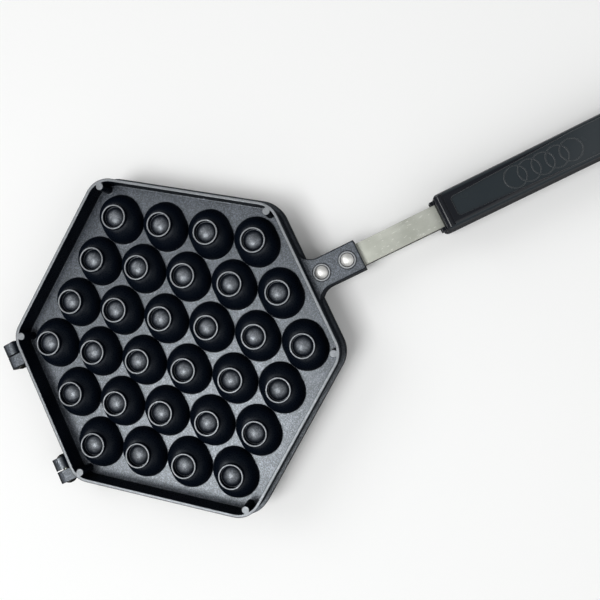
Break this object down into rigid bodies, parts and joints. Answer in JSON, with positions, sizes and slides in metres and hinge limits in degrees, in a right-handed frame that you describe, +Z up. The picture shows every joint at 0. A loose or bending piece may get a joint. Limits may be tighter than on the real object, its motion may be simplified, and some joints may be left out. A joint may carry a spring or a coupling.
{
  "type": "egg waffle pan",
  "caption": "Hinged two-sided cast pan that bakes a sheet of egg-shaped waffle puffs over a stove, with riveted steel strips and moulded grips.",
  "frame": {"origin": "centre of the closed pan's box in X and Y, on the surface it stands on", "axes": "+X from the hinges towards the grips, +Z up out of the upper casting's back"},
  "size_m": [0.406, 0.2102, 0.0326],
  "materials": {
    "coated_aluminium": "dark non-stick coating with fine metallic flecks",
    "steel": "satin",
    "grip_resin": "gloss black moulded phenolic"
  },
  "bodies": {
    "lower_half": {"lower_plate": "coated_aluminium", "lower_strip": "steel", "lower_grip": "grip_resin", "lower_rivet_inner": "steel", "lower_rivet_outer": "steel", "hinge_pin_left": "steel", "hinge_pin_right": "steel", "lower_screw_front": "steel", "lower_screw_back": "steel"},
    "upper_half": {"upper_plate": "coated_aluminium", "upper_strip": "steel", "upper_grip": "grip_resin", "upper_rivet_inner": "steel", "upper_rivet_outer": "steel", "upper_screw_front": "steel", "upper_screw_back": "steel"}
  },
  "joints": [
    {"name": "lid_hinge", "type": "hinge", "parent": "lower_half", "child": "upper_half", "pos_m": [-0.1972, 0, 0.0163], "axis": [0, -1, 0], "range_deg": [0, 180]}
  ]
}
